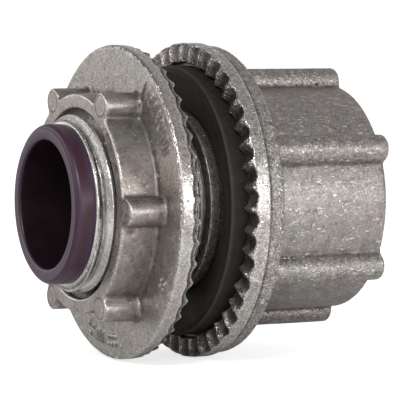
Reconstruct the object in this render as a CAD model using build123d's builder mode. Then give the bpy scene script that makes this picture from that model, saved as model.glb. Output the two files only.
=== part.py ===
from build123d import *
import math
import os

# Watertight conduit hub for 1/2 trade size conduit, in millimetres.
#
# A zinc casting carries a ribbed socket with a tapered inside thread at one end and a
# threaded nipple at the other. A toothed flange between them bites the outside of an
# enclosure wall, with a rubber gasket seated inside the ring of teeth. A locknut with
# its own toothed flange runs along the nipple and clamps the wall from the inside. A
# plastic throat bushing lines the end of the nipple so that wires are not cut.
#
# The common axis is X. The socket opens towards +X and the nipple points to -X. The
# origin is on the axis, in the plane of the hub's tooth crests, which is where the
# enclosure wall lies when the fitting is clamped.

os.makedirs("parts", exist_ok=True)

# ---- driving dimensions -------------------------------------------------------------

# threads, 14 to the inch
thread_pitch = 25.4 / 14
thread_half_angle = 30.0
root_half_width = 0.15
nipple_major_radius = 10.5
nipple_minor_radius = 9.45
thread_clearance = 0.15
cutter_overlap = 0.12

# nipple
nipple_end_x = -15.3
nipple_chamfer_length = 0.7
nipple_chamfer_drop = 0.9
relief_start_x = -1.75
relief_runout = 0.3
relief_radius = 9.38
neck_start_x = -1.25
neck_radius = 10.85

# passage through the casting
throat_seat_radius = 8.45
throat_seat_end_x = -6.3
passage_radius = 7.9
passage_rim_depth = 0.8
passage_rim_flare = 0.35

# hub flange, its teeth and the gasket seat inside them
flange_radius = 18.85
flange_step_x = 2.3
flange_back_x = 4.4
flange_back_radius = 18.45
flange_back_draft = 0.2
flange_back_chamfer = 0.4
flange_chamfer = 0.6
hub_tooth_count = 44
hub_tooth_depth = 0.85
tooth_crest_width = 0.32
hub_tooth_inner_radius = 16.2
gasket_seat_radius = 16.6
gasket_seat_floor_x = 1.4
gasket_hub_radius = 10.5

# ribbed socket
socket_end_x = 20.95
socket_outer_radius = 13.7
rib_count = 6
rib_radius = 1.7
rib_centre_radius = 14.05
rib_first_angle = 93.5
rib_root_fillet = 0.45
socket_end_fillet = 0.55
socket_base_fillet = 0.4
socket_floor_x = 5.4
socket_bore_radius = 9.2
socket_mouth_radius = 10.9
socket_mouth_depth = 1.75
socket_mouth_cone = 1.2
socket_mouth_chamfer = 0.35
socket_thread_start_x = 6.8
socket_thread_root_radius = 10.62
socket_groove_half_width = 0.83
taper_angle = math.degrees(math.atan(1 / 32))

# throat bushing
throat_tip_x = -17.6
throat_lip_radius = 9.4
throat_bore_radius = 7.55
throat_tube_radius = 8.4
throat_tube_end_x = -6.5
throat_lip_fillet = 0.75
throat_bore_fillet = 0.35

# sealing gasket
gasket_inner_radius = 10.62
gasket_outer_radius = 16.15
gasket_ridge_x = -1.35
gasket_ridge_width = 0.8
gasket_dish_x = 0.4
gasket_edge_fillet = 0.2
gasket_back_gap = 0.05

# locknut
nut_front_x = -13.6
nut_flange_x = -9.0
nut_crest_x = -6.24
nut_boss_radius = 12.94
nut_flange_radius = 18.62
nut_rim_radius = 18.3
nut_rim_width = 0.8
nut_flange_fillet = 0.35
nut_tooth_count = 46
nut_tooth_depth = 0.65
nut_tooth_inner_radius = 15.1
nut_recess_radius = 14.6
nut_recess_depth = 0.9
nut_recess_slope = 0.6
nut_collar_radius = 12.64
nut_collar_setback = 0.15
lug_count = 6
lug_radius = 1.6
lug_centre_radius = 13.5
lug_first_angle = 1.0
lug_root_fillet = 0.45
lug_edge_fillet = 0.45
lug_base_fillet = 0.4
nut_bore_radius = 9.6
nut_mouth_radius = 11.25
nut_mouth_depth = 0.75
nut_mouth_cone = 0.9
nut_counterbore_radius = 11.0
nut_counterbore_depth = 1.8
nut_counterbore_cone = 0.8

# ---- worked out ---------------------------------------------------------------------

flank_slope = math.tan(math.radians(thread_half_angle))
nipple_thread_start_x = nipple_end_x - 0.75 * thread_pitch
nipple_thread_end_x = relief_start_x - 0.25
thread_depth = nipple_major_radius - nipple_minor_radius
crest_half_width = thread_pitch / 2 - root_half_width - thread_depth * flank_slope

# The nut's grooves stand half a pitch from the nipple's, so its ridges fill them. They
# run from the open mouth to the counterbore.
nut_thread_start_x = nipple_thread_start_x + 1.5 * thread_pitch
nut_thread_end_x = nut_crest_x - 0.9
nut_root_radius = nipple_major_radius + thread_clearance


def screw_plane(path):
    """The plane in which a helix about X starts.

    It holds the X axis. Its own first axis points away from X, its second along X."""
    start = path @ 0
    outwards = Vector(0, start.Y, start.Z).normalized()
    return Plane(origin=(start.X, 0, 0), x_dir=outwards, z_dir=outwards.cross(Vector(1, 0, 0)))


def thread_groove(points, start_x, end_x, radius, taper=0.0):
    """Cuts a helical groove from the part that is open.

    The points give one side of the groove as (radius, half width), from the root
    inwards or outwards. The other side is its mirror image."""
    with BuildLine() as path:
        Helix(
            thread_pitch,
            end_x - start_x,
            radius,
            center=(start_x, 0, 0),
            direction=(1, 0, 0),
            cone_angle=taper,
        )
    other_side = [(r, -half_width) for r, half_width in reversed(points)]
    with BuildSketch(screw_plane(path.line)) as section:
        with BuildLine():
            Polyline(*points, *other_side, close=True)
        make_face()
    sweep(section.sketch, path=path.line, is_frenet=True, mode=Mode.SUBTRACT)


def ribbed_section(outline, core_radius, count, first_angle, centre_radius, radius, root_fillet):
    """Draws a round section with half-round ribs in the sketch that is open."""
    Circle(core_radius)
    with PolarLocations(centre_radius, count, start_angle=first_angle):
        Circle(radius)
    fillet(outline.vertices(), root_fillet)


def foot_edges(piece, x, within_radius):
    """The edges of a boss where it stands on the flange face at x."""
    edges = piece.edges().filter_by_position(Axis.X, x - 0.01, x + 0.01)
    return edges.filter_by(lambda edge: math.hypot((edge @ 0.5).Y, (edge @ 0.5).Z) < within_radius)


def tooth_cutters(rim_radius, inner_radius, count, depth, crest_x, first_step, facing):
    """Tapered grooves that leave a ring of teeth with their crests at crest_x.

    Each groove is part of a cone with its point on the axis, so the crests between
    neighbours stay straight and in one plane. It sinks in towards facing, 1 for +X
    and -1 for -X, and only the stretch outside inner_radius cuts."""
    chord = 2 * math.pi * rim_radius / count - tooth_crest_width
    groove_radius = (chord**2 / 4 + depth**2) / (2 * depth)
    tilt = math.degrees(math.atan((groove_radius - depth) / rim_radius))
    reach = rim_radius + 1
    cone = Cone(groove_radius * reach / rim_radius, 0, reach, align=(Align.CENTER, Align.CENTER, Align.MAX))
    first = cone.rotate(Axis.X, 90).rotate(Axis.Z, facing * tilt)
    core = Cylinder(inner_radius, 8, rotation=(0, 90, 0))
    first = Pos(crest_x, 0, 0) * (first - core)
    step = 360 / count
    return [first.rotate(Axis.X, step * (index + first_step)) for index in range(count)]


# ---- hub body: the zinc casting -----------------------------------------------------

hub_grooves = tooth_cutters(
    flange_radius, hub_tooth_inner_radius, hub_tooth_count, hub_tooth_depth, 0, 0.5, 1
)

with BuildPart() as hub_body:
    with BuildSketch(Plane.XY):
        with BuildLine():
            Polyline(
                (nipple_end_x, throat_seat_radius),
                (nipple_end_x, nipple_major_radius - nipple_chamfer_drop),
                (nipple_end_x + nipple_chamfer_length, nipple_major_radius),
                (relief_start_x - relief_runout, nipple_major_radius),
                (relief_start_x, relief_radius),
                (neck_start_x, relief_radius),
                (neck_start_x, neck_radius),
                (0, neck_radius),
                (0, gasket_hub_radius),
                (gasket_seat_floor_x, gasket_hub_radius),
                (gasket_seat_floor_x, gasket_seat_radius),
                (0, gasket_seat_radius),
                (0, flange_radius - flange_chamfer),
                (flange_chamfer, flange_radius),
                (flange_step_x, flange_radius),
                (flange_step_x, flange_back_radius + flange_back_draft),
                (flange_back_x - flange_back_chamfer, flange_back_radius),
                (flange_back_x, flange_back_radius - flange_back_chamfer),
                (flange_back_x, passage_radius),
                (throat_seat_end_x, passage_radius),
                (throat_seat_end_x, throat_seat_radius),
                close=True,
            )
        make_face()
    revolve(axis=Axis.X)

    # ribbed socket, its end and its foot softened as a casting is
    with BuildSketch(Plane.YZ.offset(flange_back_x - 0.5)) as socket_outline:
        ribbed_section(
            socket_outline,
            socket_outer_radius,
            rib_count,
            rib_first_angle,
            rib_centre_radius,
            rib_radius,
            rib_root_fillet,
        )
    extrude(amount=socket_end_x - flange_back_x + 0.5)
    socket_end = hub_body.faces().sort_by(Axis.X)[-1]
    fillet(socket_end.outer_wire().edges(), socket_end_fillet)
    fillet(foot_edges(hub_body, flange_back_x, flange_back_radius - 1), socket_base_fillet)

    # inside of the socket: counterbored mouth, wall for the thread, rounded floor
    with BuildSketch(Plane.XY):
        with BuildLine():
            Polyline(
                (flange_back_x - 1, 0),
                (flange_back_x - 1, passage_radius),
                (socket_floor_x - passage_rim_depth, passage_radius),
                (socket_floor_x, passage_radius + passage_rim_flare),
                (socket_floor_x, socket_bore_radius),
                (socket_end_x - socket_mouth_depth - socket_mouth_cone, socket_bore_radius),
                (socket_end_x - socket_mouth_depth, socket_mouth_radius),
                (socket_end_x - socket_mouth_chamfer, socket_mouth_radius),
                (socket_end_x + 0.1, socket_mouth_radius + socket_mouth_chamfer + 0.1),
                (socket_end_x + 0.1, 0),
                close=True,
            )
        make_face()
    revolve(axis=Axis.X, mode=Mode.SUBTRACT)

    # teeth on the front of the flange
    add(hub_grooves, mode=Mode.SUBTRACT)

    # outside thread on the nipple
    groove_top = nipple_major_radius + cutter_overlap
    thread_groove(
        [
            (nipple_minor_radius, root_half_width),
            (groove_top, root_half_width + (groove_top - nipple_minor_radius) * flank_slope),
        ],
        nipple_thread_start_x,
        nipple_thread_end_x,
        nipple_minor_radius,
    )

    # tapered inside thread in the socket
    thread_run = socket_end_x - socket_thread_start_x
    inner_root_radius = socket_thread_root_radius - thread_run / 32
    flank_reach = (socket_groove_half_width - root_half_width) / flank_slope
    thread_groove(
        [
            (inner_root_radius, root_half_width),
            (inner_root_radius - flank_reach, socket_groove_half_width),
            (passage_radius + 0.5, socket_groove_half_width),
        ],
        socket_thread_start_x,
        socket_end_x,
        socket_bore_radius,
        taper_angle,
    )

# ---- throat bushing: the plastic liner ----------------------------------------------

with BuildPart() as throat_bushing:
    with BuildSketch(Plane.XY) as throat_section:
        with BuildLine():
            Polyline(
                (throat_tip_x, throat_bore_radius),
                (throat_tip_x, throat_lip_radius),
                (nipple_end_x, throat_lip_radius),
                (nipple_end_x, throat_tube_radius),
                (throat_tube_end_x, throat_tube_radius),
                (throat_tube_end_x, throat_bore_radius),
                close=True,
            )
        make_face()
        tip_corners = throat_section.vertices().group_by(Axis.X)[0].sort_by(Axis.Y)
        fillet(tip_corners[-1], throat_lip_fillet)
        fillet(tip_corners[0], throat_bore_fillet)
    revolve(axis=Axis.X)

# ---- sealing gasket: the rubber ring inside the teeth -------------------------------

with BuildPart() as sealing_gasket:
    with BuildSketch(Plane.XY) as gasket_section:
        with BuildLine():
            Polyline(
                (gasket_dish_x, gasket_inner_radius),
                (gasket_ridge_x, gasket_outer_radius - gasket_ridge_width),
                (gasket_ridge_x, gasket_outer_radius),
                (gasket_seat_floor_x - gasket_back_gap, gasket_outer_radius),
                (gasket_seat_floor_x - gasket_back_gap, gasket_inner_radius),
                close=True,
            )
        make_face()
        ridge_corner = gasket_section.vertices().group_by(Axis.X)[0].sort_by(Axis.Y)[-1]
        fillet(ridge_corner, gasket_edge_fillet)
    revolve(axis=Axis.X)

# ---- locknut ------------------------------------------------------------------------

nut_grooves = tooth_cutters(
    nut_rim_radius, nut_tooth_inner_radius, nut_tooth_count, nut_tooth_depth, nut_crest_x, 0, -1
)

with BuildPart() as locknut:
    with BuildSketch(Plane.XY) as nut_section:
        with BuildLine():
            Polyline(
                (nut_flange_x, 0),
                (nut_flange_x, nut_flange_radius),
                (nut_flange_x + nut_rim_width, nut_flange_radius),
                (nut_crest_x, nut_rim_radius),
                (nut_crest_x, nut_recess_radius + nut_recess_slope),
                (nut_crest_x - nut_recess_depth, nut_recess_radius),
                (nut_crest_x - nut_recess_depth, nut_collar_radius + nut_recess_slope),
                (nut_crest_x - nut_collar_setback, nut_collar_radius),
                (nut_crest_x - nut_collar_setback, 0),
                close=True,
            )
        make_face()
        flange_corner = nut_section.vertices().group_by(Axis.X)[0].sort_by(Axis.Y)[-1]
        fillet(flange_corner, nut_flange_fillet)
    revolve(axis=Axis.X)

    # boss with six driving lugs
    with BuildSketch(Plane.YZ.offset(nut_front_x)) as boss_outline:
        ribbed_section(
            boss_outline,
            nut_boss_radius,
            lug_count,
            lug_first_angle,
            lug_centre_radius,
            lug_radius,
            lug_root_fillet,
        )
    extrude(amount=nut_flange_x - nut_front_x + 0.5)
    boss_front = locknut.faces().sort_by(Axis.X)[0]
    fillet(boss_front.outer_wire().edges(), lug_edge_fillet)
    fillet(foot_edges(locknut, nut_flange_x, nut_flange_radius - 1), lug_base_fillet)

    # bore, with an open mouth at the front and a counterbore behind the thread
    with BuildSketch(Plane.XY):
        with BuildLine():
            Polyline(
                (nut_front_x - 0.1, 0),
                (nut_front_x - 0.1, nut_mouth_radius + 0.1),
                (nut_front_x + nut_mouth_depth, nut_mouth_radius),
                (nut_front_x + nut_mouth_depth + nut_mouth_cone, nut_bore_radius),
                (nut_crest_x - nut_counterbore_depth - nut_counterbore_cone, nut_bore_radius),
                (nut_crest_x - nut_counterbore_depth, nut_counterbore_radius),
                (nut_crest_x + 0.1, nut_counterbore_radius),
                (nut_crest_x + 0.1, 0),
                close=True,
            )
        make_face()
    revolve(axis=Axis.X, mode=Mode.SUBTRACT)

    # teeth that bite the inside of the wall
    add(nut_grooves, mode=Mode.SUBTRACT)

    # inside thread
    groove_floor = nut_bore_radius - cutter_overlap
    thread_groove(
        [
            (nut_root_radius, crest_half_width + thread_clearance * (1 - flank_slope)),
            (
                groove_floor,
                crest_half_width
                + thread_clearance
                + (nipple_major_radius - groove_floor) * flank_slope,
            ),
        ],
        nut_thread_start_x,
        nut_thread_end_x,
        nut_bore_radius,
    )

# ---- write the pieces ---------------------------------------------------------------

pieces = {
    "hub_body": hub_body,
    "throat_bushing": throat_bushing,
    "sealing_gasket": sealing_gasket,
    "locknut": locknut,
}
for name, piece in pieces.items():
    piece.part.label = name
    export_step(piece.part, f"parts/{name}.step")
    print(name, piece.part.is_valid, round(piece.part.volume, 1), len(piece.part.solids()))
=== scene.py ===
import math

import bmesh
import bpy
import numpy as np
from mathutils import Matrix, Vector


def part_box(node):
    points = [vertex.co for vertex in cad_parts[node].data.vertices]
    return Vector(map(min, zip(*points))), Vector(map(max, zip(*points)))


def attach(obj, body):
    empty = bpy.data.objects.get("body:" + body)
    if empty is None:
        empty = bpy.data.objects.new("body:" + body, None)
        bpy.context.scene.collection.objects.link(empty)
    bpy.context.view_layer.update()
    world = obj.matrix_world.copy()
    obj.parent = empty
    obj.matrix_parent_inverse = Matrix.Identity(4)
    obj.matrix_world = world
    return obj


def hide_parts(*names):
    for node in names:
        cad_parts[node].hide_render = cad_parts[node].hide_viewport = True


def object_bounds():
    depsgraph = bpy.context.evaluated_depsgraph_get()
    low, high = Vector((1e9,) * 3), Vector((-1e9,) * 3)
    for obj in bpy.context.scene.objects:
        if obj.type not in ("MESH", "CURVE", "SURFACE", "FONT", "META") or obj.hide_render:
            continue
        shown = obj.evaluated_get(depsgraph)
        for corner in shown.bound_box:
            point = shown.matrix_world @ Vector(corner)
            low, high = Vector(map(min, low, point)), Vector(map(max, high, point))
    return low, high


# Looks of the watertight conduit hub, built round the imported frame. The mesh code works
# in millimetres about the X axis, which is the fitting's own axis, and writes metres.

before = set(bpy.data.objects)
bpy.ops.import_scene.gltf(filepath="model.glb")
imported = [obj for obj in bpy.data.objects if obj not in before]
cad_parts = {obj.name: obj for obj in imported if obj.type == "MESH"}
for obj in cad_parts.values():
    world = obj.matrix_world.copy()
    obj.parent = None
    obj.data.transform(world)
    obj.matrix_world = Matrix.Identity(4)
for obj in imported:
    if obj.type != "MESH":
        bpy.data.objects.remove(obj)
cad_low, cad_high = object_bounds()

MM = 0.001
TURN = 2 * math.pi


def cad_span(node):
    """Lowest and highest X of a CAD node, in millimetres."""
    low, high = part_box(node)
    return low.x / MM, high.x / MM


# ---- sizes, in millimetres ----------------------------------------------------------

nipple_end_x, socket_end_x = cad_span("hub_body")
nut_front_x, nut_crest_x = cad_span("locknut")
throat_tip_x, throat_inner_x = cad_span("throat_bushing")
gasket_ridge_x, gasket_back_x = cad_span("sealing_gasket")

pitch = 25.4 / 14
flank_slope = math.tan(math.radians(30))
thread_major, thread_minor = 10.5, 9.45
thread_root_flat = 0.15
thread_clearance = 0.15
thread_rows = [-0.8, -0.69, -0.21, -0.1, 0.1, 0.21, 0.69, 0.8]

thread_runout_x, relief_start_x, neck_start_x = -2.05, -1.75, -1.25
relief_radius, neck_radius = 9.38, 10.85
throat_seat_radius, passage_radius = 8.45, 7.9
throat_seat_end_x = -6.3
nipple_lead_length, nipple_lead_slope = 0.7, 1.3

flange_radius, flange_back_radius = 18.85, 18.45
flange_step_x, flange_back_x = 2.3, 4.4
flange_chamfer = 0.6
seat_radius, seat_hub_radius, seat_floor_x = 16.6, 10.5, 1.4

socket_radius, socket_bore, socket_mouth = 13.7, 9.2, 10.9
socket_floor_x = 5.4
socket_mouth_depth = 1.75
socket_taper = 1 / 32
socket_end_round = 0.55
socket_thread_root, socket_thread_start_x = 10.62, 6.8
foot_fillet = 0.4
rib = {"count": 6, "first": 93.5, "centre": 14.05, "radius": 1.7, "fillet": 0.45}

nut_flange_x = -9.0
nut_flange_radius, nut_rim_radius = 18.62, 18.3
nut_boss_radius, nut_bore, nut_mouth, nut_counterbore = 12.94, 9.6, 11.25, 11.0
nut_recess_radius, nut_recess_depth = 14.6, 0.9
nut_collar_radius = 12.64
nut_front_round, nut_edge_round = 0.6, 0.22
nut_tooth_foot = 15.2
lug_end_ring_radius = 1.26
mark_height, mark_circle_radius = 0.24, 16.3
lug = {"count": 6, "first": 1.0, "centre": 13.5, "radius": 1.6, "fillet": 0.45}

throat_bore, throat_step, throat_lip, throat_tube = 7.55, 8.95, 9.4, 8.4
gasket_bore, gasket_rim = 10.62, 16.15
gasket_ridge_width, gasket_dish_x = 0.8, 0.4

hub_teeth = {"count": 44, "depth": 0.85, "rim": flange_radius, "first": 0.5}
nut_teeth = {"count": 46, "depth": 0.65, "rim": nut_rim_radius, "first": 0.0}
tooth_crest_width = 0.32
hub_columns_per_tooth, nut_columns_per_tooth = 14, 12


# ---- noise and curves ---------------------------------------------------------------


def lattice_noise(points, cell, seed):
    """Smooth noise from -1 to 1 at each point, with features about one cell across."""
    table = np.random.default_rng(seed).uniform(-1, 1, (32, 32, 32))
    at = points / cell
    low = np.floor(at).astype(int)
    part = at - low
    part = part * part * (3 - 2 * part)
    total = np.zeros(len(points))
    for corner in np.ndindex(2, 2, 2):
        share = np.prod(np.where(corner, part, 1 - part), axis=1)
        i, j, k = ((low + corner) % 32).T
        total += share * table[i, j, k]
    return total


def smooth_max(a, b, softness):
    """The larger of two values, with a rounded change from one to the other."""
    return 0.5 * (a + b + np.sqrt((a - b) ** 2 + softness**2))


def profile(corners, spacing=0.6, arc_steps=4):
    """Points along a line of corners (x, radius, fillet), with round fillets and divided runs."""
    points = []
    for index, (x, r, fillet) in enumerate(corners):
        here = np.array([x, r], float)
        if fillet and 0 < index < len(corners) - 1:
            before = np.array(corners[index - 1][:2], float) - here
            after = np.array(corners[index + 1][:2], float) - here
            before /= np.linalg.norm(before)
            after /= np.linalg.norm(after)
            half = math.acos(np.clip(before @ after, -1, 1)) / 2
            centre = here + (before + after) / np.linalg.norm(before + after) * fillet / math.sin(half)
            start = here + before * fillet / math.tan(half) - centre
            end = here + after * fillet / math.tan(half) - centre
            angle = math.pi - 2 * half
            for step in range(arc_steps + 1):
                t = step / arc_steps
                mix = start * math.sin((1 - t) * angle) + end * math.sin(t * angle)
                points.append(centre + mix / math.sin(angle))
        else:
            points.append(here)
    divided = [points[0]]
    for a, b in zip(points, points[1:]):
        parts = max(1, math.ceil(np.linalg.norm(b - a) / spacing))
        divided += [a + (b - a) * k / parts for k in range(1, parts + 1)]
    return divided


def lobed_outline(columns, core, lobes, outset=0.0):
    """Y and Z of a round outline with half-round lobes, moved outwards by outset.

    Column 0 stands near angle 0, and each lobe's middle is at its true angle."""
    core, lobe, blend = core + outset, lobes["radius"] + outset, lobes["fillet"] - outset
    centre = lobes["centre"]
    cosine = ((core + blend) ** 2 + centre**2 - (lobe + blend) ** 2) / (2 * (core + blend) * centre)
    foot = math.acos(cosine)
    blend_at = (core + blend) * np.array([math.cos(foot), math.sin(foot)])
    lobe_end = math.atan2(blend_at[1], blend_at[0] - centre)
    blend_turn = lobe_end - foot
    half = math.pi / lobes["count"]
    lobe_t = np.linspace(0, lobe_end, 60, endpoint=False)
    blend_t = np.linspace(0, blend_turn, 40, endpoint=False)
    core_t = np.linspace(foot, half, 60)
    turned = lobe_end + math.pi - blend_t
    stretches = (
        (centre + lobe * np.cos(lobe_t), lobe * np.sin(lobe_t)),
        (blend_at[0] + blend * np.cos(turned), blend_at[1] + blend * np.sin(turned)),
        (core * np.cos(core_t), core * np.sin(core_t)),
    )
    u, v = (np.concatenate(values) for values in zip(*stretches))
    u, v = np.concatenate([u[:0:-1], u]), np.concatenate([-v[:0:-1], v])
    length = np.concatenate([[0], np.cumsum(np.hypot(np.diff(u), np.diff(v)))])
    length = length / length[-1] - 0.5
    sector = np.arange(columns) / columns * lobes["count"] - lobes["first"] / 360 * lobes["count"]
    whole = np.round(sector)
    u, v = np.interp(sector - whole, length, u), np.interp(sector - whole, length, v)
    turn = whole * TURN / lobes["count"] + math.radians(lobes["first"])
    return u * np.cos(turn) - v * np.sin(turn), u * np.sin(turn) + v * np.cos(turn)


# ---- skins made of rings ------------------------------------------------------------


class Skin:
    """A closed skin of patches of points. Patches share their edge points, which merge."""

    def __init__(self):
        self.points, self.faces, self.last = [], [], None

    def add_points(self, points):
        first = sum(len(p) for p in self.points)
        self.points.append(np.asarray(points, float))
        return first

    def ring(self, x, y, z):
        """Adds a ring and joins it to the one before, halving or doubling its columns."""
        points = np.stack(np.broadcast_arrays(x, y, z), axis=1)
        first, count = self.add_points(points), len(points)
        if self.last:
            self.join(*self.last, first, count)
        self.last = (first, count)

    def join(self, a, count_a, b, count_b):
        """Faces between two rings, whose first points are a and b."""
        if count_a == count_b:
            for i in range(count_a):
                k = (i + 1) % count_a
                self.faces.append((a + i, a + k, b + k, b + i))
            return
        if count_a < count_b:
            a, count_a, b, count_b = b, count_b, a, count_a
        for i in range(count_b):
            k = (i + 1) % count_b
            one, two, three = a + 2 * i, a + 2 * i + 1, a + (2 * i + 2) % count_a
            self.faces += [(one, two, b + i), (two, b + k, b + i), (two, three, b + k)]

    def lathe(self, corners, columns, shape=None, **options):
        """Rings along a profile. shape(x, radius, angle) may move each ring's points."""
        angle = np.arange(columns) * TURN / columns
        for x, r in profile(corners, **options):
            x_at, r_at = shape(x, r, angle) if shape else (x, r)
            self.ring(x_at, r_at * np.cos(angle), r_at * np.sin(angle))

    def thread(self, start_x, end_x, columns, radius_at, groove_x):
        """A threaded stretch whose rows of points follow the helix, from plane to plane."""
        angle = np.arange(columns + 1) * TURN / columns
        lead = pitch * (angle / TURN - 0.25) + groove_x
        low, high = sorted((start_x, end_x))
        first = math.floor((low - lead.max()) / pitch) - 1
        last = math.ceil((high - lead.min()) / pitch) + 1
        rows = [n * pitch + phase for n in range(first, last + 1) for phase in thread_rows]
        if end_x < start_x:
            rows.reverse()
        before = None
        for row in rows:
            x = np.clip(row + lead, low, high)
            r = radius_at(x, (x - lead) / pitch)
            points = np.stack([x, r * np.cos(angle), r * np.sin(angle)], axis=1)
            here = self.add_points(points)
            if before is None:
                self.join(*self.last, here, columns)
            else:
                for i in range(columns):
                    self.faces.append((before + i, before + i + 1, here + i + 1, here + i))
            before = here
        self.last = (before, columns)

    def close(self):
        """Joins the last ring to the first."""
        self.join(*self.last, 0, len(self.points[0]))

    def build(self, name, merge=2e-4):
        mesh = bpy.data.meshes.new(name)
        mesh.from_pydata(np.concatenate(self.points) * MM, [], self.faces)
        work = bmesh.new()
        work.from_mesh(mesh)
        bmesh.ops.remove_doubles(work, verts=work.verts, dist=merge * MM)
        bmesh.ops.dissolve_degenerate(work, edges=work.edges, dist=merge * MM)
        bmesh.ops.recalc_face_normals(work, faces=work.faces)
        for face in work.faces:
            face.smooth = True
        work.to_mesh(mesh)
        work.free()
        piece = bpy.data.objects.new(name, mesh)
        bpy.context.scene.collection.objects.link(piece)
        return piece


def mesh_arrays(mesh):
    """Vertex places in millimetres, vertex normals and edges of a mesh."""
    places = np.zeros(len(mesh.vertices) * 3)
    mesh.vertices.foreach_get("co", places)
    normals = np.zeros(len(mesh.vertices) * 3)
    mesh.vertex_normals.foreach_get("vector", normals)
    edges = np.zeros(len(mesh.edges) * 2, int)
    mesh.edges.foreach_get("vertices", edges)
    return places.reshape(-1, 3) / MM, normals.reshape(-1, 3), edges.reshape(-1, 2)


def move_surface(piece, height_at):
    """Moves each vertex along its normal by height_at(places), in millimetres."""
    places, normals, _ = mesh_arrays(piece.data)
    places += normals * height_at(places)[:, None]
    piece.data.vertices.foreach_set("co", (places * MM).ravel())
    piece.data.update()


def add_edge_attribute(piece, rounds=2):
    """Stores how convex the surface is at each vertex, from 0 in a corner to 1 on an edge."""
    places, normals, edges = mesh_arrays(piece.data)
    a, b = edges.T
    along = places[b] - places[a]
    square = np.maximum((along**2).sum(axis=1), 1e-4)
    bend = np.zeros(len(places))
    number = np.zeros(len(places))
    np.add.at(bend, a, -(along * normals[a]).sum(axis=1) / square)
    np.add.at(bend, b, (along * normals[b]).sum(axis=1) / square)
    np.add.at(number, a, 1)
    np.add.at(number, b, 1)
    bend = np.clip(bend / np.maximum(number, 1), -3, 3)
    for _ in range(rounds):
        spread = bend.copy()
        np.add.at(spread, a, bend[b])
        np.add.at(spread, b, bend[a])
        bend = spread / (number + 1)
    value = 0.5 + 0.5 * np.tanh(bend * 1.2)
    attribute = piece.data.attributes.new("edge", "FLOAT", "POINT")
    attribute.data.foreach_set("value", value.astype(np.float32))


# ---- shapes shared by the castings --------------------------------------------------


def groove_depth(teeth, radius, angle, seed):
    """How far the grooves between radial teeth sink in, 0 along the crests."""
    step = TURN / teeth["count"]
    chord = teeth["rim"] * step - tooth_crest_width
    round_radius = (chord**2 / 4 + teeth["depth"] ** 2) / (2 * teeth["depth"])
    index = np.round(angle / step - teeth["first"])
    across = teeth["rim"] * (angle - (index + teeth["first"]) * step)
    under = round_radius**2 - across**2
    sunk = np.sqrt(np.maximum(under, 0)) - (round_radius - teeth["depth"])
    uneven = np.random.default_rng(seed).uniform(0.86, 1.06, teeth["count"])
    scale = radius / teeth["rim"] * uneven[index.astype(int) % teeth["count"]]
    return smooth_max(sunk * scale, 0, 0.07) - 0.02


def hub_flange_shape(x, r, angle):
    """Sinks the teeth into the front of the hub's flange."""
    face_x = max(0.0, r - (flange_radius - flange_chamfer))
    depth = groove_depth(hub_teeth, r, angle, 5)
    lift = smooth_max(face_x, depth, 0.05) - face_x
    fade = np.clip(1 - (x - face_x) / 1.35, 0, 1)
    return x + lift * fade, r


def nut_flange_shape(x, r, angle):
    """Sinks the teeth into the back of the locknut's flange."""
    depth = groove_depth(nut_teeth, r, angle, 6)
    fade = np.clip(1 - (nut_crest_x - x) / 1.6, 0, 1)
    inside = np.clip((r - nut_recess_radius) / 0.6, 0, 1)
    return x - depth * fade * inside, r


def male_radius(x, phase):
    """Radius of the nipple's thread, which runs out at both ends."""
    across = np.abs(phase - np.round(phase)) * pitch
    groove = thread_minor + np.maximum(across - thread_root_flat, 0) / flank_slope
    crest = thread_major - np.clip(nipple_end_x + nipple_lead_length - x, 0, 1) * nipple_lead_slope
    return -smooth_max(-groove, -crest, 0.04)


def nut_radius(x, phase):
    """Radius of the locknut's thread, whose ridges stand in the nipple's grooves."""
    across = np.abs(phase - np.round(phase)) * pitch
    depth = thread_major - thread_minor
    flat = pitch / 2 - thread_root_flat - depth * flank_slope + thread_clearance * (1 - flank_slope)
    root = thread_major + thread_clearance
    return smooth_max(root - np.maximum(across - flat, 0) / flank_slope, nut_bore, 0.04)


def socket_radius_at(x, phase):
    """Radius of the socket's tapered thread."""
    across = np.abs(phase - np.round(phase)) * pitch
    root = socket_thread_root - (socket_end_x - x) * socket_taper
    fade = np.clip((x - socket_thread_start_x) / 1.2, 0, 1)
    groove = root - np.maximum(across - thread_root_flat, 0) / flank_slope
    return socket_bore + (smooth_max(groove, socket_bore, 0.05) - socket_bore) * fade


def quarter_round(radius, steps):
    """Steps round a concave or convex quarter circle: (rise from its start, drop left to its end)."""
    for step in range(1, steps + 1):
        t = step / steps * math.pi / 2
        yield radius * (1 - math.cos(t)), radius * (1 - math.sin(t))


# ---- pieces -------------------------------------------------------------------------


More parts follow.
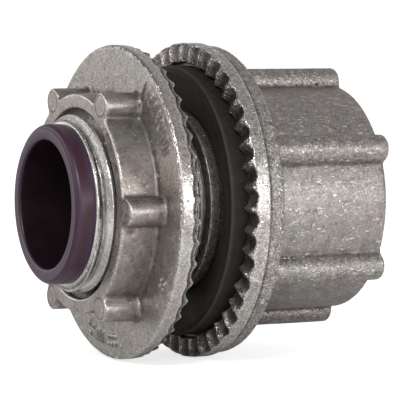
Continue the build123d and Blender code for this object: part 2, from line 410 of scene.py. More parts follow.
def hub_casting():
    skin = Skin()
    full = hub_teeth["count"] * hub_columns_per_tooth
    half = full // 2

    # end of the nipple, its thread, the relief and the neck
    skin.lathe(
        [
            (nipple_end_x, throat_seat_radius, 0),
            (nipple_end_x, thread_major - 0.9, 0.15),
            (nipple_end_x + 0.25, thread_major - 0.58, 0),
        ],
        half,
    )
    skin.thread(nipple_end_x + 0.25, thread_runout_x, half, male_radius, nipple_end_x - 0.75 * pitch)
    skin.lathe(
        [
            (thread_runout_x, thread_major - 0.1, 0),
            (relief_start_x, relief_radius, 0.1),
            (neck_start_x, relief_radius, 0.1),
            (neck_start_x, neck_radius, 0.12),
            (0, neck_radius, 0.1),
            (0.02, seat_hub_radius, 0.1),
            (seat_floor_x, seat_hub_radius, 0.2),
            (seat_floor_x, seat_radius - 1.0, 0),
        ],
        half,
        arc_steps=3,
    )

    # gasket seat, teeth, rim and the two bands of the flange
    skin.lathe(
        [
            (seat_floor_x, seat_radius - 0.9, 0),
            (seat_floor_x, seat_radius, 0.25),
            (0, seat_radius, 0.12),
            (0, flange_radius - flange_chamfer, 0.25),
            (flange_chamfer, flange_radius, 0.35),
            (flange_step_x, flange_radius, 0.14),
            (flange_step_x + 0.03, flange_back_radius + 0.2, 0.08),
            (flange_back_x, flange_back_radius, 0.4),
            (flange_back_x, flange_back_radius - 1.0, 0),
        ],
        full,
        hub_flange_shape,
        spacing=0.33,
        arc_steps=3,
    )

    # back of the flange, running in to the foot of the ribbed socket
    angle = np.arange(full) * TURN / full
    out_y, out_z = lobed_outline(full, socket_radius, rib, foot_fillet)
    rim = flange_back_radius - 1.0
    rim_y, rim_z = rim * np.cos(angle), rim * np.sin(angle)
    for t in (0.35, 0.7, 1.0):
        skin.ring(flange_back_x, rim_y + (out_y - rim_y) * t, rim_z + (out_z - rim_z) * t)
    for lift, outset in quarter_round(foot_fillet, 4):
        skin.ring(flange_back_x + lift, *lobed_outline(full, socket_radius, rib, outset))

    # the socket's outside and its rounded end
    round_x = socket_end_x - socket_end_round
    for x in np.linspace(flange_back_x + foot_fillet, round_x, 18)[1:]:
        skin.ring(x, *lobed_outline(full, socket_radius, rib))
    for inset, rest in quarter_round(socket_end_round, 5):
        skin.ring(socket_end_x - rest, *lobed_outline(full, socket_radius, rib, -inset))
    out_y, out_z = lobed_outline(full, socket_radius, rib, -socket_end_round)
    lip = socket_mouth + 0.45
    rim_y, rim_z = lip * np.cos(angle), lip * np.sin(angle)
    for t in (0.25, 0.5, 0.75):
        skin.ring(socket_end_x, out_y + (rim_y - out_y) * t, out_z + (rim_z - out_z) * t)

    # mouth, tapered thread, floor and the passage back to the nipple's end
    thread_end = socket_end_x - socket_mouth_depth - 1.2
    skin.lathe(
        [
            (socket_end_x, lip, 0),
            (socket_end_x - 0.4, socket_mouth, 0.3),
            (socket_end_x - socket_mouth_depth, socket_mouth, 0.15),
            (thread_end + 0.5, socket_bore + 0.75, 0),
        ],
        half,
        arc_steps=3,
    )
    thread_floor = socket_thread_start_x - 0.5
    skin.thread(thread_end + 0.5, thread_floor, half // 2, socket_radius_at, socket_thread_start_x)
    skin.lathe(
        [
            (thread_floor, socket_bore, 0),
            (socket_floor_x, socket_bore, 0.3),
            (socket_floor_x, passage_radius + 0.35, 0.3),
            (socket_floor_x - 0.8, passage_radius, 0.4),
            (throat_seat_end_x, passage_radius, 0.05),
            (throat_seat_end_x, throat_seat_radius, 0.05),
            (nipple_end_x + 1, throat_seat_radius, 0),
        ],
        half // 2,
        spacing=2.0,
        arc_steps=3,
    )
    angle = np.arange(half) * TURN / half
    skin.ring(nipple_end_x + 0.5, throat_seat_radius * np.cos(angle), throat_seat_radius * np.sin(angle))
    skin.close()
    return skin.build("hub_casting")


def raised(distance, blur=0.14):
    """Share of full height at a distance from a mark's outline, negative inside it."""
    t = np.clip(0.5 - distance / blur, 0, 1)
    return t * t * (3 - 2 * t)


def cast_marks(y, z):
    """Height of the plain raised marks on the front of the locknut's flange.

    Bars and pips in a few groups. They spell nothing."""
    radius, angle = np.hypot(y, z), np.degrees(np.arctan2(z, y)) % 360

    def local(at):
        turn = (angle - at + 180) % 360 - 180
        return np.radians(turn) * mark_circle_radius, radius - mark_circle_radius

    def bar(at, half_length, half_width=0.17):
        along, up = local(at)
        return raised(np.hypot(np.maximum(np.abs(up) - half_length, 0), along) - half_width)

    def pip(at, size, offset):
        along, up = local(at)
        return raised(np.hypot(along, up - offset) - size)

    marks = [pip(289.5, 0.34, 0.55), pip(287.6, 0.34, -0.45), pip(291.4, 0.34, -0.45)]
    marks += [bar(at, 0.6) for at in (283.0, 280.2, 277.4)]
    marks += [pip(at, 0.3, up) for at in (271.5, 268.5, 265.5, 213.5, 210.5) for up in (-0.45, 0.45)]
    marks += [bar(at, 0.85) for at in np.linspace(124, 156, 9)]
    return mark_height * np.maximum.reduce(marks)


def lugged_locknut():
    skin = Skin()
    full = nut_teeth["count"] * nut_columns_per_tooth
    half = full // 2
    angle = np.arange(full) * TURN / full
    collar_x = nut_crest_x - 0.15
    recess_x = nut_crest_x - nut_recess_depth

    # collar round the counterbore and the recess inside the teeth
    skin.lathe(
        [
            (nut_crest_x - 1.2, nut_counterbore, 0),
            (collar_x, nut_counterbore, 0.12),
            (collar_x, nut_collar_radius, 0.2),
            (recess_x, nut_collar_radius + 0.6, 0.2),
            (recess_x, nut_recess_radius - 0.4, 0),
        ],
        half,
        arc_steps=3,
    )

    # teeth, stepped rim and rounded front edge
    rim = nut_flange_radius - nut_front_round
    skin.lathe(
        [
            (recess_x, nut_recess_radius - 0.35, 0),
            (recess_x, nut_recess_radius, 0.15),
            (nut_crest_x, nut_recess_radius + 0.6, 0.2),
            (nut_crest_x, nut_rim_radius, 0.15),
            (nut_crest_x - 0.98, nut_rim_radius + 0.14, 0.1),
            (nut_crest_x - 1.03, nut_flange_radius - 0.03, 0.06),
            (nut_flange_x, nut_flange_radius, 0.38),
            (nut_flange_x, rim, 0),
        ],
        full,
        nut_flange_shape,
        spacing=0.28,
    )

    # front of the flange with its cast marks, in to the foot of the lugged boss
    out_y, out_z = lobed_outline(full, nut_boss_radius, lug, foot_fillet)
    rim_y, rim_z = rim * np.cos(angle), rim * np.sin(angle)
    for t in np.linspace(0, 1, 36)[1:]:
        y, z = rim_y + (out_y - rim_y) * t, rim_z + (out_z - rim_z) * t
        skin.ring(nut_flange_x - cast_marks(y, z), y, z)
    for lift, outset in quarter_round(foot_fillet, 4):
        skin.ring(nut_flange_x - lift, *lobed_outline(full, nut_boss_radius, lug, outset))

    # the boss's side, its rounded edge and its front
    for x in np.linspace(nut_flange_x - foot_fillet, nut_front_x + nut_edge_round, 14)[1:]:
        skin.ring(x, *lobed_outline(full, nut_boss_radius, lug))
    for inset, rest in quarter_round(nut_edge_round, 3):
        skin.ring(nut_front_x + rest, *lobed_outline(full, nut_boss_radius, lug, -inset))
    out_y, out_z = lobed_outline(full, nut_boss_radius, lug, -nut_edge_round)
    lip = nut_mouth + 0.3
    rim_y, rim_z = lip * np.cos(angle), lip * np.sin(angle)
    for t in np.linspace(0, 1, 7)[1:]:
        skin.ring(nut_front_x, out_y + (rim_y - out_y) * t, out_z + (rim_z - out_z) * t)

    # open mouth, thread and counterbore. The cones at the two ends of the thread carry no groove, so they
    # clip the nipple's ridges by up to 0.48 mm. The solids in the frame don't.
    thread_front, thread_back = nut_front_x + 1.5, nut_crest_x - 2.4
    skin.lathe(
        [
            (nut_front_x, lip - 0.05, 0),
            (nut_front_x, nut_mouth, 0.2),
            (nut_front_x + 0.75, nut_mouth, 0.1),
            (thread_front, nut_bore + 0.3, 0),
        ],
        half,
        arc_steps=3,
    )
    skin.thread(thread_front, thread_back, half, nut_radius, nipple_end_x - 0.25 * pitch)
    skin.lathe(
        [
            (thread_back, nut_bore + 0.2, 0),
            (nut_crest_x - 1.8, nut_counterbore, 0.1),
            (nut_crest_x - 1.4, nut_counterbore, 0),
        ],
        half,
    )
    skin.close()
    return skin.build("lugged_locknut")


def throat_liner():
    skin = Skin()
    columns = 256
    skin.lathe(
        [
            (throat_inner_x, throat_bore + 0.4, 0),
            (throat_inner_x, throat_bore, 0.15),
            (throat_tip_x, throat_bore, 0.35),
            (throat_tip_x, throat_step - 0.12, 0.05),
            (throat_tip_x + 0.09, throat_step - 0.04, 0.05),
            (throat_tip_x + 0.13, throat_lip, 0.62),
            (nipple_end_x, throat_lip - 0.03, 0.12),
            (nipple_end_x - 0.01, throat_tube, 0.05),
            (throat_inner_x, throat_tube, 0.15),
            (throat_inner_x, throat_tube - 0.35, 0),
        ],
        columns,
        spacing=0.5,
        arc_steps=6,
    )
    skin.close()
    return skin.build("throat_liner")


def gasket_ring():
    skin = Skin()
    columns = 320
    skin.lathe(
        [
            (gasket_back_x, gasket_bore + 0.6, 0),
            (gasket_back_x, gasket_bore, 0.12),
            (gasket_dish_x, gasket_bore, 0.1),
            (gasket_ridge_x, gasket_rim - gasket_ridge_width, 0.14),
            (gasket_ridge_x, gasket_rim, 0.22),
            (gasket_back_x, gasket_rim, 0.2),
            (gasket_back_x, gasket_bore + 1.2, 0),
        ],
        columns,
        spacing=0.4,
        arc_steps=5,
    )
    skin.close()
    return skin.build("gasket_ring")


# ---- cast and machined surface relief -----------------------------------------------


def cast_relief(places, seed, crest_x, tooth_foot, smooth_inside):
    """Waviness of a die casting in millimetres, rougher on the teeth, with their crests worn down."""
    radius = np.hypot(places[:, 1], places[:, 2])
    relief = 0.022 * lattice_noise(places, 3.1, seed) + 0.01 * lattice_noise(places, 0.9, seed + 1)
    teeth = np.exp(-(((places[:, 0] - crest_x) / 0.75) ** 2)) * (radius > tooth_foot)
    relief += teeth * 0.045 * lattice_noise(places, 0.62, seed + 2)
    crest = np.exp(-(((places[:, 0] - crest_x) / 0.2) ** 2)) * (radius > tooth_foot)
    relief += crest * (0.06 * lattice_noise(places, 0.42, seed + 3) - 0.07)
    return relief * np.where(radius < smooth_inside, 0.15, 1)


def dents(places, *spots):
    """Small knocks in the surface. Each spot is (x, angle in degrees, radius, size, depth)."""
    total = np.zeros(len(places))
    for x, angle, radius, size, depth in spots:
        at = (x, radius * math.cos(math.radians(angle)), radius * math.sin(math.radians(angle)))
        total -= depth * np.exp(-(((places - at) ** 2).sum(axis=1)) / size**2)
    return total


def nut_relief(places):
    """The locknut's cast surface, with two knocks in the side of its boss."""
    knocks = ((-12.2, 191.7, nut_boss_radius, 0.34, 0.17), (-10.6, 141.0, nut_boss_radius, 0.3, 0.08))
    return cast_relief(places, 23, nut_crest_x, nut_tooth_foot, nut_bore + 1.1) + dents(places, *knocks)


def add_attribute(piece, name, value_at):
    """Stores a value from 0 to 1 at each vertex, for the material to read."""
    places, _, _ = mesh_arrays(piece.data)
    attribute = piece.data.attributes.new(name, "FLOAT", "POINT")
    attribute.data.foreach_set("value", np.clip(value_at(places), 0, 1).astype(np.float32))


def hub_polish(places):
    """The hub's smoother parts: its rim, the nipple and the worn crests of its teeth. The material lightens
    them, partly as bare metal and partly as a painted highlight.
    """
    x, radius = places[:, 0], np.hypot(places[:, 1], places[:, 2])
    rim = np.clip((radius - 18.55) / 0.15, 0, 1) * (x < flange_step_x)
    nipple = (radius < thread_major + 0.1) & (x < neck_start_x)
    crests = np.clip((0.28 - x) / 0.2, 0, 1) * (radius > seat_radius) * 0.7
    return np.maximum.reduce([rim, nipple, crests])


def tooth_grooves(places, crest_x, tooth_foot, rim_radius):
    """Painted shade, darker towards the bottom of the grooves between teeth."""
    depth, radius = np.abs(places[:, 0] - crest_x), np.hypot(places[:, 1], places[:, 2])
    between = (radius > tooth_foot) & (radius < rim_radius - 0.12) & (depth < 1.1)
    return np.clip((depth - 0.2) / 0.45, 0, 1) * between


def hub_hollow_shade(places):
    """Painted shade between the teeth, and in the thread behind the locknut."""
    x, radius = places[:, 0], np.hypot(places[:, 1], places[:, 2])
    thread = np.clip((x - nut_flange_x + 1.5) / 3.0, 0, 0.6) * (radius < neck_radius + 0.2) * (x < 1.0)
    thread *= radius > throat_seat_radius + 0.3
    return np.maximum(tooth_grooves(places, 0.0, seat_radius - 0.3, flange_radius), thread)


def nut_hollow_shade(places):
    """Painted shade between the teeth and round the feet of the cast marks."""
    x, y, z = places.T
    height = cast_marks(y, z) / mark_height
    outline = 4 * height * (1 - height) * (np.abs(x - nut_flange_x + mark_height / 2) < 0.3)
    return np.maximum(tooth_grooves(places, nut_crest_x, nut_tooth_foot, nut_flange_radius), outline)


def hub_turned(places):
    """The end of the nipple, faced and threaded with a tool."""
    x, radius = places[:, 0], np.hypot(places[:, 1], places[:, 2])
    return (radius < thread_major + 0.2) & (radius > throat_seat_radius - 0.2) & (x < nut_front_x + 0.6)


def hub_rough(places):
    """Teeth and the flange's back band came from the rougher part of the die, then the ribs."""
    x, radius = places[:, 0], np.hypot(places[:, 1], places[:, 2])
    teeth = (radius > 16.4) & (x < 0.9)
    band = (radius > 17.9) & (x > flange_step_x - 0.05) & (x < flange_back_x + 0.1)
    rim = (radius > 18.2) & (x >= 0.9)
    ribs = np.clip((radius - socket_radius) / 0.5, 0, 1) * 0.6
    return np.maximum.reduce([teeth * 0.6, band * 0.9, rim * 0.5, ribs, np.full(len(x), 0.3)])


def nut_rough(places):
    """Rougher on the locknut's teeth and a little on the front of its flange."""
    x, radius = places[:, 0], np.hypot(places[:, 1], places[:, 2])
    teeth = (radius > 14.9) & (x > nut_crest_x - 0.8)
    face = (radius > nut_boss_radius + 0.3) & (x < nut_flange_x + 0.2) & (x > nut_flange_x - 0.4)
    return np.maximum.reduce([teeth * 0.6, face * 0.35, np.full(len(x), 0.12)])


def nut_polish(places):
    """The locknut's rim, where it is handled, which the material lightens partly as a painted highlight."""
    radius = np.hypot(places[:, 1], places[:, 2])
    return np.clip((radius - 18.35) / 0.12, 0, 1) * (places[:, 0] < nut_crest_x - 0.9)


# ---- materials ----------------------------------------------------------------------


class Nodes:
    """A material's node tree with short calls to add and join nodes."""

    def __init__(self, name):
        self.material = bpy.data.materials.new(name)
        self.material.use_nodes = True
        self.tree = self.material.node_tree
        self.tree.nodes.clear()
        self.output = self.add("ShaderNodeOutputMaterial")
        self.surface = self.add("ShaderNodeBsdfPrincipled")
        self.tree.links.new(self.surface.outputs[0], self.output.inputs["Surface"])
        place = self.add("ShaderNodeTexCoord").outputs["Object"]
        scale = self.add("ShaderNodeVectorMath", operation="SCALE")
        scale.inputs["Scale"].default_value = 1 / MM
        self.tree.links.new(place, scale.inputs[0])
        self.place = scale.outputs[0]

    def add(self, kind, **settings):
        node = self.tree.nodes.new(kind)
        for key, value in settings.items():
            setattr(node, key, value)
        return node

    def put(self, value, socket):
        if isinstance(value, bpy.types.NodeSocket):
            self.tree.links.new(value, socket)
        else:
            socket.default_value = value

    def attribute(self, name):
        return self.add("ShaderNodeAttribute", attribute_name=name).outputs["Fac"]

    def noise(self, scale, detail=3.0, rough=0.5, distortion=0.0, place=None):
        node = self.add("ShaderNodeTexNoise")
        self.tree.links.new(place or self.place, node.inputs["Vector"])
        node.inputs["Scale"].default_value = scale
        node.inputs["Detail"].default_value = detail
        node.inputs["Roughness"].default_value = rough
        node.inputs["Distortion"].default_value = distortion
        return node.outputs["Fac"]

    def flecks(self, scale, turn, threshold):
        """Short curved scratches that run one way, 1 inside each and 0 between them."""
        mapping = self.add("ShaderNodeMapping")
        mapping.inputs["Scale"].default_value = (0.5, 2.6, 1.0)
        mapping.inputs["Rotation"].default_value = turn
        self.tree.links.new(self.place, mapping.inputs["Vector"])
        noise = self.noise(scale, 1.0, 0.4, 0.8, mapping.outputs[0])
        return self.ramp(noise, (threshold, 0.0), (threshold + 0.03, 1.0))

    def split(self):
        node = self.add("ShaderNodeSeparateXYZ")
        self.tree.links.new(self.place, node.inputs[0])
        return node.outputs

    def length(self, a, b):
        squares = self.math("MULTIPLY", a, a), self.math("MULTIPLY", b, b)
        return self.math("SQRT", self.math("ADD", *squares))

    def lug_end_rings(self):
        """1 on the thin round line that edges the flat end of each lug, 0 elsewhere."""
        x, y, z = self.split()
        turn = self.math("SUBTRACT", self.math("ARCTAN2", z, y), math.radians(lug["first"]))
        turn = self.math("WRAP", turn, math.pi / lug["count"])
        turn.node.inputs[2].default_value = -math.pi / lug["count"]
        radius = self.length(y, z)
        across = self.math("MULTIPLY", radius, self.math("COSINE", turn))
        across = self.math("SUBTRACT", across, lug["centre"])
        up = self.math("MULTIPLY", radius, self.math("SINE", turn))
        off = self.math("ABSOLUTE", self.math("SUBTRACT", self.length(across, up), lug_end_ring_radius))
        front = self.math("LESS_THAN", x, nut_front_x + 0.12)
        return self.math("MULTIPLY", self.ramp(off, (0.04, 1.0), (0.11, 0.0)), front)

    def lathe_marks(self, scale):
        """Noise that varies with the distance along and from the axis, as a tool leaves it."""
        x, y, z = self.split()
        join = self.add("ShaderNodeCombineXYZ")
        for value, socket in zip((x, self.length(y, z), self.math("MULTIPLY", z, 0.03)), join.inputs):
            self.put(value, socket)
        return self.noise(scale, place=join.outputs[0])

    def cells(self, scale):
        node = self.add("ShaderNodeTexVoronoi")
        self.tree.links.new(self.place, node.inputs["Vector"])
        node.inputs["Scale"].default_value = scale
        return node

    def ramp(self, value, *stops):
        """Maps a value to a grey or a colour through stops (place, number or colour)."""
        node = self.add("ShaderNodeValToRGB")
        self.tree.links.new(value, node.inputs["Fac"])
        elements = node.color_ramp.elements
        while len(elements) < len(stops):
            elements.new(0.5)
        for element, (at, shade) in zip(elements, stops):
            element.position = at
            element.color = (*shade, 1) if isinstance(shade, tuple) else (shade, shade, shade, 1)
        return node.outputs["Color"]

    def math(self, operation, a, b=0.0, clamp=False):
        node = self.add("ShaderNodeMath", operation=operation, use_clamp=clamp)
        self.put(a, node.inputs[0])
        self.put(b, node.inputs[1])
        return node.outputs[0]

    def mix(self, share, a, b, blend="MIX"):
        node = self.add("ShaderNodeMix", data_type="RGBA", blend_type=blend)
        self.put(share, node.inputs["Factor"])
        for value, socket in ((a, node.inputs["A"]), (b, node.inputs["B"])):
            self.put((*value, 1) if isinstance(value, tuple) else value, socket)
        return node.outputs["Result"]

    def bump(self, height, distance, before=None):
        """Bump whose height of 1 stands distance millimetres proud."""
        node = self.add("ShaderNodeBump")
        node.inputs["Strength"].default_value = 1.0
        node.inputs["Distance"].default_value = distance * MM
        self.tree.links.new(height, node.inputs["Height"])
        if before:
            self.tree.links.new(before, node.inputs["Normal"])
        return node.outputs["Normal"]

    def facets(self, scale):
        """A height that tilts each small crystal of the metal its own way."""
        cells = self.cells(scale)
        scaled = self.add("ShaderNodeVectorMath", operation="SCALE")
        scaled.inputs["Scale"].default_value = scale
        self.tree.links.new(self.place, scaled.inputs[0])
        offset = self.add("ShaderNodeVectorMath", operation="SUBTRACT")
        self.tree.links.new(scaled.outputs[0], offset.inputs[0])
        self.tree.links.new(cells.outputs["Position"], offset.inputs[1])
        tilt = self.add("ShaderNodeVectorMath", operation="SUBTRACT")
        self.tree.links.new(cells.outputs["Color"], tilt.inputs[0])
        tilt.inputs[1].default_value = (0.5, 0.5, 0.5)
        dot = self.add("ShaderNodeVectorMath", operation="DOT_PRODUCT")
        self.tree.links.new(offset.outputs[0], dot.inputs[0])
        self.tree.links.new(tilt.outputs[0], dot.inputs[1])
        return dot.outputs["Value"]


near_black = (0.02, 0.018, 0.017)
bare_zinc = (0.8, 0.77, 0.74)


def cast_metal(name, dark, light, gloss_rough, facet_tilt, scratched, shift):
    """Die-cast zinc: mottled grey, sandy grain, tiny bright crystals, pits and worn edges, with painted shade
    in hollows, pits and grooves and painted highlights on edges, rims and crests.
    """
    n = Nodes(name)
    edge, polish = n.attribute("edge"), n.attribute("polish")
    turned, rough = n.attribute("turned"), n.attribute("rough")
    tone = n.noise(0.9 + shift, 6, 0.62)
    patch = n.noise(0.16 + shift / 9, 3, 0.5)
    grain = n.noise(7.0, 3, 0.6)
    speckle = n.noise(4.2, 2, 0.75)

    tint = n.mix(n.ramp(patch, (0.38, 0.0), (0.62, 1.0)), (1.03, 0.985, 0.975), (0.965, 1.0, 0.975))
    colour = n.mix(n.ramp(tone, (0.3, 0.0), (0.72, 1.0)), dark, light)
    colour = n.mix(1.0, colour, tint, "MULTIPLY")
    colour = n.mix(n.ramp(grain, (0.35, 0.2), (0.65, 0.0)), colour, near_black)
    # Painted shade on the low spots and painted highlight on the high spots of the rough speckled relief.
    shadow = n.math("MULTIPLY", n.ramp(speckle, (0.36, 0.8), (0.5, 0.0)), rough)
    colour = n.mix(shadow, colour, (0.06, 0.055, 0.052))
    bright = n.math("MULTIPLY", n.ramp(speckle, (0.56, 0.0), (0.68, 0.8)), rough)
    colour = n.mix(bright, colour, (0.74, 0.71, 0.68))

    # Lathe marks put into the colour, partly the tool's real marks and partly painted reflection streaks on
    # the turned metal.
    marks = n.lathe_marks(5.5)
    silver = n.mix(n.ramp(marks, (0.35, 0.0), (0.65, 1.0)), (0.33, 0.32, 0.305), (0.86, 0.85, 0.83))
    scuff = n.ramp(n.noise(1.7, 5, 0.7), (0.35, 0.7), (0.52, 0.0))
    silver = n.mix(scuff, silver, (0.2, 0.19, 0.18))
    colour = n.mix(n.math("MULTIPLY", turned, 0.85), colour, silver)

    pits = n.cells(1.15)
    hole = n.ramp(pits.outputs["Distance"], (0.06, 1.0), (0.11, 0.0))
    lottery = n.ramp(n.noise(0.7, 2), (0.48, 0.0), (0.56, 1.0))
    hole = n.math("MULTIPLY", hole, lottery)
    # Painted shade in the pits.
    colour = n.mix(n.math("MULTIPLY", hole, 0.85), colour, near_black)
    scratch = n.flecks(2.6, (0.3, 0.5, 0.7), 0.685), n.flecks(2.9, (0.3, 1.3, 0.4), 0.675)
    scratch = n.math("MAXIMUM", *scratch)
    scratch = n.math("MULTIPLY", scratch, n.math("ADD", rough, scratched), clamp=True)
    colour = n.mix(n.math("MULTIPLY", scratch, 0.75), colour, bare_zinc)

    # Rims, nipple and tooth crests lightened towards bare metal, partly real wear and partly a painted
    # highlight.
    bare_metal_and_highlight = n.math("MULTIPLY", polish, n.ramp(speckle, (0.42, 0.1), (0.64, 0.42)))
    colour = n.mix(bare_metal_and_highlight, colour, bare_zinc)
    # Painted shade along the thin line round the flat end of each lug.
    ring = n.lug_end_rings()
    colour = n.mix(n.math("MULTIPLY", ring, 0.6), colour, (0.05, 0.045, 0.042))

    # Painted shade in the grooves, the thread behind the locknut and round the cast marks' feet.
    recess_shade = n.math("MULTIPLY", n.attribute("hollow_shade"), n.ramp(tone, (0.3, 0.8), (0.7, 0.45)))
    colour = n.mix(recess_shade, colour, (0.045, 0.04, 0.037))
    # Painted shade in concave corners, stronger where the tone is darker.
    corner = n.ramp(edge, (0.18, 1.0), (0.45, 0.0))
    hollow_shade = n.math("MULTIPLY", corner, n.ramp(tone, (0.3, 0.8), (0.7, 0.35)))
    colour = n.mix(hollow_shade, colour, (0.04, 0.036, 0.033))
    # Convex edges lightened, partly real wear and partly a painted highlight.
    edge_wear_and_highlight = n.math("MULTIPLY", n.ramp(edge, (0.62, 0.0), (0.9, 1.0)), n.ramp(speckle, (0.42, 0.1), (0.6, 1.0)))
    colour = n.mix(n.math("MULTIPLY", edge_wear_and_highlight, 0.65), colour, (0.68, 0.655, 0.625))
    n.put(colour, n.surface.inputs["Base Color"])

    crystals = n.cells(3.4)
    crystal = n.ramp(crystals.outputs["Color"], (0.74, 0.0), (0.78, 1.0))
    glint = n.math("MULTIPLY", crystal, n.math("ADD", rough, 0.25))
    shine = n.math("MULTIPLY_ADD", n.ramp(tone, (0.3, 0.0), (0.75, 1.0)), 0.16)
    shine.node.inputs[2].default_value = gloss_rough
    for share, amount in ((edge_wear_and_highlight, 0.16), (polish, 0.14), (turned, 0.16), (glint, 0.2)):
        shine = n.math("SUBTRACT", shine, n.math("MULTIPLY", share, amount))
    shine = n.math("ADD", shine, n.math("MULTIPLY", hollow_shade, 0.25))
    n.put(n.math("MAXIMUM", shine, 0.12), n.surface.inputs["Roughness"])
    n.surface.inputs["Metallic"].default_value = 0.9

    fine = n.math("SUBTRACT", 1.0, n.math("MULTIPLY", polish, 0.6))
    uneven = n.math("ADD", n.math("MULTIPLY", rough, 2.2), 0.45)
    normal = n.bump(n.math("MULTIPLY", marks, turned), 0.04)
    normal = n.bump(n.math("MULTIPLY", n.facets(4.6), fine), facet_tilt, normal)
    normal = n.bump(n.math("MULTIPLY", n.facets(3.4), glint), 0.12, normal)
    normal = n.bump(n.math("MULTIPLY", grain, n.math("MULTIPLY", fine, uneven)), 0.014, normal)
    normal = n.bump(n.math("MULTIPLY", speckle, n.math("MULTIPLY", fine, rough)), 0.07, normal)
    normal = n.bump(n.noise(2.2 + shift, 4, 0.6), 0.03, normal)
    normal = n.bump(scratch, -0.015, normal)
    normal = n.bump(n.math("MAXIMUM", hole, ring), -0.06, normal)
    n.put(normal, n.surface.inputs["Normal"])
    return n.material


def purple_plastic():
    """The liner's moulded plastic: dark aubergine and satin, with a painted violet highlight on its rounded
    edges and painted shade deep in its bore.
    """
    n = Nodes("purple_plastic")
    edge = n.attribute("edge")
    cloud = n.noise(0.45, 4, 0.55)
    speck = n.noise(6.0, 3, 0.7)
    colour = n.mix(n.ramp(cloud, (0.35, 0.0), (0.65, 1.0)), (0.027, 0.0075, 0.0135), (0.036, 0.0105, 0.019))
    # Painted violet highlight along the rounded edges.
    colour = n.mix(n.ramp(edge, (0.58, 0.0), (0.8, 0.6)), colour, (0.045, 0.023, 0.064))
    colour = n.mix(n.ramp(speck, (0.66, 0.0), (0.74, 0.5)), colour, (0.12, 0.085, 0.11))
    # Painted shade deep inside the bore.
    colour = n.mix(n.math("MULTIPLY", n.attribute("bore"), 0.85), colour, (0.006, 0.0038, 0.0042))
    n.put(colour, n.surface.inputs["Base Color"])
    n.put(n.ramp(cloud, (0.3, 0.3), (0.7, 0.42)), n.surface.inputs["Roughness"])
    normal = n.bump(n.noise(1.1, 4, 0.6), 0.03)
    normal = n.bump(speck, 0.006, normal)
    n.put(normal, n.surface.inputs["Normal"])
    n.surface.inputs["Specular IOR Level"].default_value = 0.36
    return n.material


def black_rubber():
    """The gasket's moulded rubber: near black, dull and faintly dusty, with a painted sheen on its dish and a
    painted highlight on its ridge.
    """
    n = Nodes("black_rubber")
    edge = n.attribute("edge")
    cloud = n.noise(0.6, 4, 0.6)
    colour = n.mix(n.ramp(cloud, (0.35, 0.0), (0.7, 1.0)), (0.0095, 0.0078, 0.0068), (0.0165, 0.0135, 0.0118))
    # Painted sheen: the dish is lighter than the rest of the ring.
    colour = n.mix(n.math("MULTIPLY", n.attribute("dish"), 0.6), colour, (0.042, 0.036, 0.032))
    dust = n.ramp(n.noise(3.5, 4, 0.7), (0.57, 0.0), (0.7, 0.7))
    colour = n.mix(dust, colour, (0.06, 0.055, 0.05))
    # Painted highlight along the ridge.
    colour = n.mix(n.ramp(edge, (0.6, 0.0), (0.85, 0.4)), colour, (0.05, 0.046, 0.043))
    n.put(colour, n.surface.inputs["Base Color"])
    n.put(n.ramp(cloud, (0.3, 0.55), (0.7, 0.75)), n.surface.inputs["Roughness"])
    normal = n.bump(n.noise(5.0, 3, 0.6), 0.03)
    n.put(n.bump(cloud, 0.05, normal), n.surface.inputs["Normal"])
    n.surface.inputs["Specular IOR Level"].default_value = 0.24
    return n.material


def dress(piece, material, node, body):
    """Gives a finished piece its material and its body, and hides the CAD node that it stands for."""
    piece.data.materials.append(material)
    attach(piece, body)
    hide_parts(node)
    return piece


hub = hub_casting()
move_surface(hub, lambda places: cast_relief(places, 11, 0.0, seat_radius, thread_major + 0.4))
add_edge_attribute(hub)
add_attribute(hub, "polish", hub_polish)
add_attribute(hub, "turned", hub_turned)
add_attribute(hub, "rough", hub_rough)
add_attribute(hub, "hollow_shade", hub_hollow_shade)
hub_zinc = cast_metal("hub_zinc", (0.249, 0.228, 0.217), (0.43, 0.394, 0.376), 0.36, 0.03, 0.5, 0.0)
dress(hub, hub_zinc, "hub_body", "hub")

nut = lugged_locknut()
move_surface(nut, nut_relief)
add_edge_attribute(nut)
add_attribute(nut, "polish", nut_polish)
add_attribute(nut, "rough", nut_rough)
add_attribute(nut, "hollow_shade", nut_hollow_shade)
nut_zinc = cast_metal("nut_zinc", (0.252, 0.229, 0.215), (0.437, 0.397, 0.376), 0.27, 0.014, 0.1, 0.11)
dress(nut, nut_zinc, "locknut", "locknut")

liner = throat_liner()
move_surface(liner, lambda places: 0.012 * lattice_noise(places, 2.4, 31))
add_edge_attribute(liner)
# Marks the inside of the bore, where the liner gets painted shade.
add_attribute(liner, "bore", lambda places: (throat_bore + 0.25 - np.hypot(places[:, 1], places[:, 2])) / 0.2)
dress(liner, purple_plastic(), "throat_bushing", "hub")

gasket = gasket_ring()
move_surface(gasket, lambda places: 0.02 * lattice_noise(places, 3.0, 41))
add_edge_attribute(gasket)
# Marks the dish, which the rubber lightens as a painted sheen.
add_attribute(gasket, "dish", lambda places: (gasket_rim - 0.7 - np.hypot(places[:, 1], places[:, 2])) / 0.3)
dress(gasket, black_rubber(), "sealing_gasket", "gasket")


# ---- stage: a pale floor, soft light and the camera ---------------------------------


def direction(azimuth, elevation):
    """Unit vector towards an azimuth from -Y, turning to +X, and an elevation, in degrees."""
    a, e = math.radians(azimuth), math.radians(elevation)
    return Vector((math.sin(a) * math.cos(e), -math.cos(a) * math.cos(e), math.sin(e)))


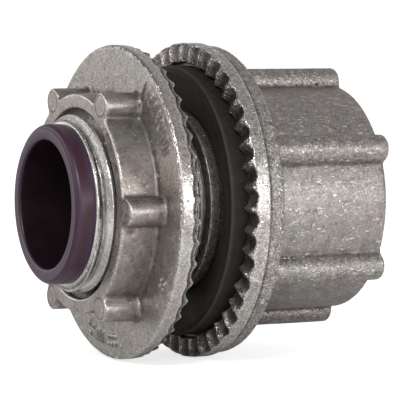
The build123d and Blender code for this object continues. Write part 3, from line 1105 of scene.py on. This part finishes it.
def studio_floor(floor_z):
    """A wide pale disc that the fitting's flanges stand on.

    A faint glow that only the camera sees joins it to the white behind, and a glow in
    front of the fitting stands for light thrown back up by the table."""
    columns, radius = 96, 6000.0
    angle = np.arange(columns) * TURN / columns
    points = [(radius * math.cos(a) * MM, radius * math.sin(a) * MM, floor_z * MM) for a in angle]
    mesh = bpy.data.meshes.new("studio_floor")
    mesh.from_pydata(points, [], [tuple(range(columns))])
    floor = bpy.data.objects.new("studio_floor", mesh)
    bpy.context.scene.collection.objects.link(floor)
    n = Nodes("pale_floor")
    n.put(n.ramp(n.noise(0.004, 2), (0.3, 0.78), (0.7, 0.8)), n.surface.inputs["Base Color"])
    n.surface.inputs["Roughness"].default_value = 0.9
    n.surface.inputs["Specular IOR Level"].default_value = 0.2
    n.surface.inputs["Emission Color"].default_value = (1.0, 1.0, 1.0, 1)
    seen = n.math("MULTIPLY", n.add("ShaderNodeLightPath").outputs["Is Camera Ray"], background_glow)
    x, y, _ = n.split()
    in_front = n.ramp(n.math("MULTIPLY", y, -0.01), (0.06, 0.0), (0.35, 1.0))
    nearby = n.ramp(n.math("MULTIPLY", n.length(x, y), 0.01), (0.9, 1.0), (1.0, 0.0))
    bounce = n.math("MULTIPLY", n.math("MULTIPLY", in_front, nearby), bounce_glow)
    n.put(n.math("ADD", seen, bounce), n.surface.inputs["Emission Strength"])
    mesh.materials.append(n.material)


def softbox(name, towards, width, height, power):
    """A rectangular light at softbox_distance from the fitting, facing it. Millimetres and watts."""
    light = bpy.data.lights.new(name, "AREA")
    light.shape = "RECTANGLE"
    light.size, light.size_y = width * MM, height * MM
    light.energy = power
    lamp = bpy.data.objects.new(name, light)
    bpy.context.scene.collection.objects.link(lamp)
    lamp.location = towards * softbox_distance * MM
    lamp.rotation_mode = "QUATERNION"
    lamp.rotation_quaternion = towards.to_track_quat("Z", "Y")


def studio_world(lights):
    """Plain white behind the object, and broad soft lights all round for it to reflect.

    Each light is (azimuth, elevation, sharpness, strength), its direction in degrees."""
    world = bpy.data.worlds.new("studio")
    world.use_nodes = True
    tree = world.node_tree
    tree.nodes.clear()

    def add(kind, a, b, **settings):
        node = tree.nodes.new(kind)
        for key, value in settings.items():
            setattr(node, key, value)
        for value, socket in ((a, node.inputs[0]), (b, node.inputs[1])):
            if isinstance(value, bpy.types.NodeSocket):
                tree.links.new(value, socket)
            else:
                socket.default_value = value
        return node

    place = tree.nodes.new("ShaderNodeTexCoord").outputs["Generated"]
    total = room_glow
    for azimuth, elevation, sharpness, strength in lights:
        facing = add("ShaderNodeVectorMath", place, direction(azimuth, elevation), operation="DOT_PRODUCT")
        facing = add("ShaderNodeMath", facing.outputs["Value"], 0.0, operation="MAXIMUM")
        lobe = add("ShaderNodeMath", facing.outputs[0], sharpness, operation="POWER")
        lobe = add("ShaderNodeMath", lobe.outputs[0], strength, operation="MULTIPLY")
        total = add("ShaderNodeMath", lobe.outputs[0], total, operation="ADD").outputs[0]
    room = add("ShaderNodeBackground", (1.0, 0.99, 0.99, 1.0), total)
    white = add("ShaderNodeBackground", (1.0, 1.0, 1.0, 1.0), 1.0)
    path = tree.nodes.new("ShaderNodeLightPath")
    mix = tree.nodes.new("ShaderNodeMixShader")
    output = tree.nodes.new("ShaderNodeOutputWorld")
    tree.links.new(path.outputs["Is Camera Ray"], mix.inputs[0])
    tree.links.new(room.outputs[0], mix.inputs[1])
    tree.links.new(white.outputs[0], mix.inputs[2])
    tree.links.new(mix.outputs[0], output.inputs["Surface"])
    bpy.context.scene.world = world


room_glow, background_glow, bounce_glow = 0.02, 0.7, 0.5
softbox_distance = 420
studio_floor(cad_low.z / MM)
studio_world(
    [
        (0, 6, 9, 2.2),
        (240, 6, 9, 2.6),
        (210, 6, 9, 1.5),
        (120, 42, 7, 0.6),
        (60, 6, 9, 0.6),
        (150, 6, 9, 0.5),
        (60, 42, 7, 0.5),
        (-30, 6, 9, 0.9),
        (-60, 42, 7, 1.0),
    ]
)
softbox("high_window", direction(-37, 36), 80, 80, 0.7)
softbox("side_window", direction(27, 5), 110, 150, 0.27)
softbox("near_window", direction(12, 4), 80, 100, 0.16)

camera_distance = 300.02
target = Vector((flange_step_x, 0, 0))
backwards = direction(-27.106, 3.657)
camera = bpy.data.cameras.new("camera")
camera.sensor_width = 36.0
camera.lens = 224.2
camera.shift_x, camera.shift_y = 0.01073, -0.001
camera.clip_start, camera.clip_end = 0.01, 10.0
view = bpy.data.objects.new("camera", camera)
bpy.context.scene.collection.objects.link(view)
view.location = (target + backwards * camera_distance) * MM
view.rotation_mode = "QUATERNION"
view.rotation_quaternion = backwards.to_track_quat("Z", "Y")
bpy.context.scene.camera = view
bpy.context.scene.view_settings.view_transform = "Standard"
